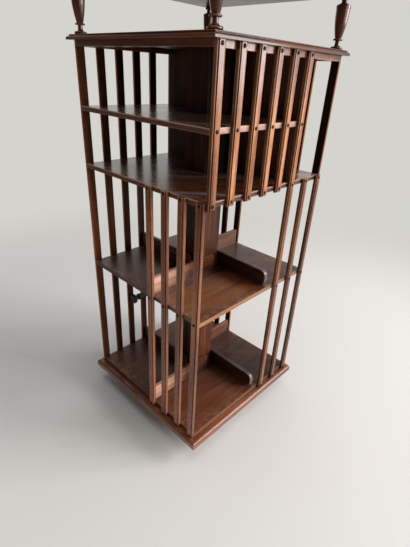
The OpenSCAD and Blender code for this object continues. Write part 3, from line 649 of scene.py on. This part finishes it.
# Pale floor that fades into the pale background far from the object
def floor_material():
    mat, tree = new_tree("floor_pale")
    coords = put(tree, "ShaderNodeTexCoord").outputs["Object"]
    clouds = remap(tree, noise(tree, coords, **FLOOR_CLOUDS), *FLOOR_NOISE_SPAN, -CLOUD_TONE, CLOUD_TONE)
    specks = remap(tree, noise(tree, coords, **FLOOR_SPECKS), *FLOOR_NOISE_SPAN, -SPECK_TONE, SPECK_TONE)
    tone = plus(tree, plus(tree, clouds, specks), NOISE_MIDDLE)
    colour = mix_colour(tree, tone, FLOOR_DARK, FLOOR_LIGHT)
    ground = put(tree, "ShaderNodeBsdfPrincipled", {"Base Color": colour, "Roughness": FLOOR_ROUGH})
    split = separate(tree, coords)
    flat = combine(tree, split["X"], split["Y"], 0.0)
    far = put(tree, "ShaderNodeVectorMath", {0: flat}, operation="LENGTH").outputs["Value"]
    fade = remap(tree, far, *FLOOR_FADE, ease="SMOOTHSTEP")
    path = put(tree, "ShaderNodeLightPath").outputs
    seen = plus(tree, path["Is Camera Ray"], path["Is Transmission Ray"])
    room = room_light(tree, math_node(tree, "DIVIDE", split["Y"], far))
    mirrored = times(tree, path["Is Glossy Ray"], room)
    strength = plus(tree, seen, mirrored, True)
    glow = put(tree, "ShaderNodeEmission", {"Color": BACKDROP_COLOUR, "Strength": strength})
    shown = times(tree, fade, plus(tree, seen, path["Is Glossy Ray"], True))
    show(tree, put(tree, "ShaderNodeMixShader", {0: shown, 1: ground.outputs[0], 2: glow.outputs[0]}))
    return mat


floor_mesh = bpy.data.meshes.new("floor")
corner_angles = [2 * math.pi * i / FLOOR_SIDES for i in range(FLOOR_SIDES)]
ring = [(FLOOR_R * math.cos(angle), FLOOR_R * math.sin(angle), 0.0) for angle in corner_angles]
floor_mesh.from_pydata(ring, [], [list(range(FLOOR_SIDES))])
floor = bpy.data.objects.new("floor", floor_mesh)
bpy.context.scene.collection.objects.link(floor)
floor.data.materials.append(floor_material())


# World: soft light, dimmer on the front side; the camera sees an even pale background
WORLD_LIGHT = 0.32
WORLD_COLOUR = (0.97, 0.98, 1.0, 1.0)
world = bpy.data.worlds.new("studio")
bpy.context.scene.world = world
world.use_nodes = True
sky = world.node_tree
sky.nodes.clear()
path = put(sky, "ShaderNodeLightPath").outputs
seen = plus(sky, path["Is Camera Ray"], path["Is Transmission Ray"], True)
aim = separate(sky, put(sky, "ShaderNodeTexCoord").outputs["Generated"])
room = room_light(sky, aim["Y"])
soft = times(sky, room, WORLD_LIGHT)
light_part = put(sky, "ShaderNodeBackground", {"Color": WORLD_COLOUR, "Strength": soft}).outputs[0]
mirror_part = put(sky, "ShaderNodeBackground", {"Color": BACKDROP_COLOUR, "Strength": room}).outputs[0]
seen_part = put(sky, "ShaderNodeBackground", {"Color": BACKDROP_COLOUR, "Strength": 1.0}).outputs[0]
lit = put(sky, "ShaderNodeMixShader", {0: path["Is Glossy Ray"], 1: light_part, 2: mirror_part}).outputs[0]
both = put(sky, "ShaderNodeMixShader", {0: seen, 1: lit, 2: seen_part}).outputs[0]
put(sky, "ShaderNodeOutputWorld", {0: both})


def area_light(name, at, towards, size, power, colour):
    lamp = bpy.data.lights.new(name, "AREA")
    lamp.shape = "RECTANGLE"
    lamp.size, lamp.size_y = size
    lamp.energy = power
    lamp.color = colour
    obj = bpy.data.objects.new(name, lamp)
    bpy.context.scene.collection.objects.link(obj)
    obj.location = at
    obj.rotation_euler = (Vector(towards) - Vector(at)).to_track_quat("-Z", "Y").to_euler()
    return obj


area_light("window_right", at=(3.86, 3.18, 2.65), towards=(0.0, 0.0, 1.12), size=(2.56, 3.9),
           power=400.0, colour=(1.0, 0.96, 0.97))
area_light("soft_right", at=(4.2, 0.3, 1.6), towards=(0.0, 0.0, 0.9), size=(2.4, 2.0),
           power=40.0, colour=(1.0, 0.91, 0.80))
area_light("top_soft", at=(0.2, 0.0, 3.0), towards=(0.0, 0.0, 0.5), size=(2.4, 2.4),
           power=28.0, colour=(1.0, 1.0, 1.0))
low_front = area_light("low_front", at=(-1.1, -3.8, 0.55), towards=(0.0, 0.0, 0.25), size=(2.4, 1.0),
                       power=40.0, colour=(1.0, 0.95, 0.9))
low_front.visible_glossy = False

# Camera at the photograph's place
azimuth = math.radians(CAMERA_AZIMUTH)
pitch = math.radians(CAMERA_PITCH)
roll = math.radians(CAMERA_ROLL)
level = Vector((math.cos(azimuth), math.sin(azimuth), 0.0))
ahead = Vector((-math.sin(azimuth), math.cos(azimuth), 0.0))
forward = math.cos(pitch) * ahead - Vector((0.0, 0.0, math.sin(pitch)))
upward = level.cross(forward)
right = math.cos(roll) * level + math.sin(roll) * upward
top = -math.sin(roll) * level + math.cos(roll) * upward
camera_data = bpy.data.cameras.new("camera")
camera_data.sensor_fit = "VERTICAL"
camera_data.sensor_height = SENSOR
camera_data.lens = FOCAL_PX / PHOTO_H * SENSOR
camera = bpy.data.objects.new("camera", camera_data)
bpy.context.scene.collection.objects.link(camera)
turn = Matrix((right, top, -forward)).transposed().to_4x4()
camera.matrix_world = Matrix.Translation(CAMERA_AT) @ turn
bpy.context.scene.camera = camera
bpy.context.scene.view_settings.view_transform = "Standard"
